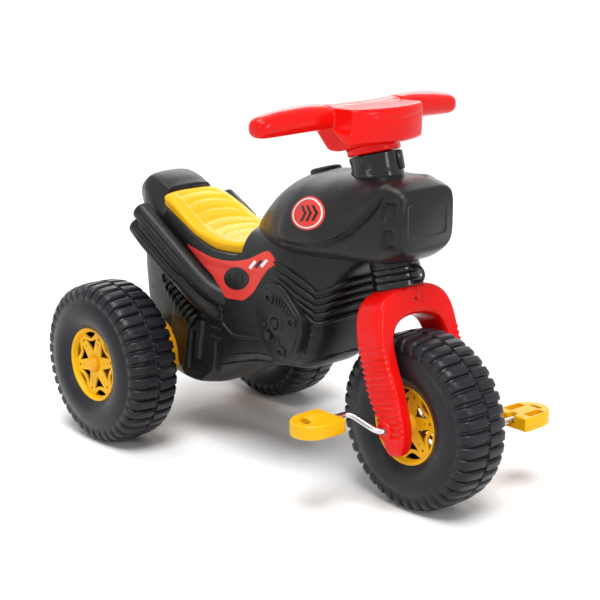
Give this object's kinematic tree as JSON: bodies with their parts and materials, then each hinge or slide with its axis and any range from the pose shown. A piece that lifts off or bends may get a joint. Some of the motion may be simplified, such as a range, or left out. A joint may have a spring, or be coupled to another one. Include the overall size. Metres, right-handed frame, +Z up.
{
  "type": "pedal motorcycle",
  "caption": "Child's pedal motorcycle: hollow plastic body with a saddle, turning fork and handlebar, pedal-driven front wheel and free-rolling rear wheels.",
  "frame": {"origin": "ground plane under the middle of the bounding box, midway between the axles", "axes": "+X towards the front wheel, the way it rides; +Y to the rider's left; +Z up"},
  "size_m": [0.73, 0.412, 0.5331],
  "materials": {
    "black_plastic": "satin blow-moulded plastic",
    "gloss_black": "polished black plastic",
    "tyre_black": "hollow black plastic with moulded lugs",
    "red_plastic": "glossy red plastic",
    "yellow_plastic": "half-gloss yellow plastic",
    "orange_plastic": "half-gloss orange plastic",
    "plated_steel": "zinc-plated steel rod and tube",
    "nylon": "natural nylon"
  },
  "bodies": {
    "frame_body": {"body_shell": "black_plastic", "seat": "yellow_plastic", "filler_cap": "black_plastic", "headlight_panel": "gloss_black", "headset_ring": "black_plastic", "steering_collar": "gloss_black", "rear_axle": "plated_steel", "axle_bush_right": "nylon", "axle_bush_left": "nylon", "axle_nut_right": "plated_steel", "axle_nut_left": "plated_steel"},
    "steering_body": {"fork": "red_plastic", "steering_column": "plated_steel", "handlebar": "red_plastic", "handlebar_pin": "plated_steel", "fork_pin": "plated_steel", "fork_bush_right": "nylon", "fork_bush_left": "nylon"},
    "front_wheel_body": {"tyre_front": "tyre_black", "rim_front_right": "yellow_plastic", "rim_front_left": "yellow_plastic", "crank": "plated_steel", "pedal_nut_right": "plated_steel", "pedal_nut_left": "plated_steel"},
    "pedal_right_body": {"pedal_right": "yellow_plastic"},
    "pedal_left_body": {"pedal_left": "yellow_plastic"},
    "rear_wheel_right_body": {"tyre_rear_right": "tyre_black", "rim_rear_right_outer": "yellow_plastic", "rim_rear_right_inner": "orange_plastic", "hub_cap_rear_right": "orange_plastic"},
    "rear_wheel_left_body": {"tyre_rear_left": "tyre_black", "rim_rear_left_outer": "yellow_plastic", "rim_rear_left_inner": "orange_plastic", "hub_cap_rear_left": "orange_plastic"}
  },
  "joints": [
    {"name": "steering", "type": "hinge", "parent": "frame_body", "child": "steering_body", "pos_m": [0.245, 0, 0.12], "axis": [-0.2756, 0, 0.9613], "range_deg": [-35, 35]},
    {"name": "front_wheel_spin", "type": "hinge", "parent": "steering_body", "child": "front_wheel_body", "pos_m": [0.245, 0, 0.12], "axis": [0, 1, 0], "continuous": true},
    {"name": "pedal_right_spin", "type": "hinge", "parent": "front_wheel_body", "child": "pedal_right_body", "pos_m": [0.18827, -0.1113, 0.13206], "axis": [0, 1, 0], "continuous": true},
    {"name": "pedal_left_spin", "type": "hinge", "parent": "front_wheel_body", "child": "pedal_left_body", "pos_m": [0.30173, 0.1113, 0.10794], "axis": [0, 1, 0], "continuous": true},
    {"name": "rear_wheel_right_spin", "type": "hinge", "parent": "frame_body", "child": "rear_wheel_right_body", "pos_m": [-0.245, -0.161, 0.12], "axis": [0, 1, 0], "continuous": true},
    {"name": "rear_wheel_left_spin", "type": "hinge", "parent": "frame_body", "child": "rear_wheel_left_body", "pos_m": [-0.245, 0.161, 0.12], "axis": [0, 1, 0], "continuous": true}
  ]
}
